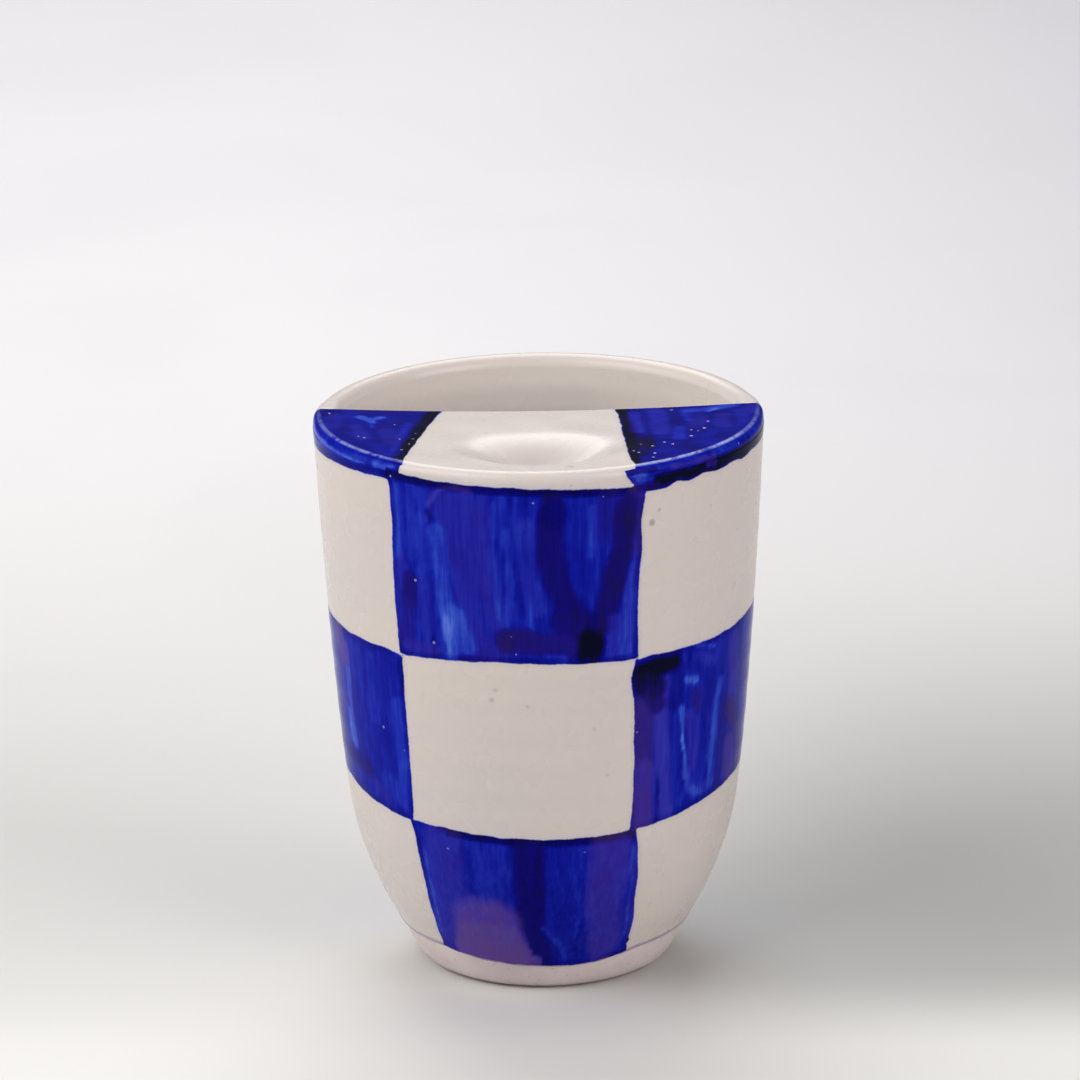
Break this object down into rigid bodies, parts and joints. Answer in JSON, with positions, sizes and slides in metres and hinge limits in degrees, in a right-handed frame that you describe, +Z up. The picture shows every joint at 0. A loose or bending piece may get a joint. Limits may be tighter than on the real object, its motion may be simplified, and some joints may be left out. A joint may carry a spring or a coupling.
{
  "type": "half-decked stoneware mug",
  "caption": "Handleless tapered stoneware mug with a flat half deck across the mouth, a pressed thumb well and hand-painted cobalt checks.",
  "frame": {"origin": "centre of the foot's resting plane, on the axis of the wall", "axes": "+Z up along the wall's axis, -Y towards the decked side of the mouth, +X to the right seen from that side"},
  "size_m": [0.0838, 0.0838, 0.106],
  "materials": {
    "stoneware_clay": "fired bare stoneware, fine matt grain",
    "white_glaze": "semi-gloss warm white glaze with fine dark specks",
    "cobalt_paint": "glossy cobalt blue brushed in overlapping strokes"
  },
  "bodies": {
    "root": {"cup_body": "stoneware_clay", "deck_slab": "stoneware_clay", "slip_joint": "stoneware_clay", "joint_coil": "stoneware_clay", "wall_glaze": "white_glaze", "deck_glaze": "white_glaze", "liner_glaze": "white_glaze", "lower_checks": "cobalt_paint", "middle_checks": "cobalt_paint", "upper_checks": "cobalt_paint", "rim_checks": "cobalt_paint", "deck_checks": "cobalt_paint"}
  },
  "joints": []
}
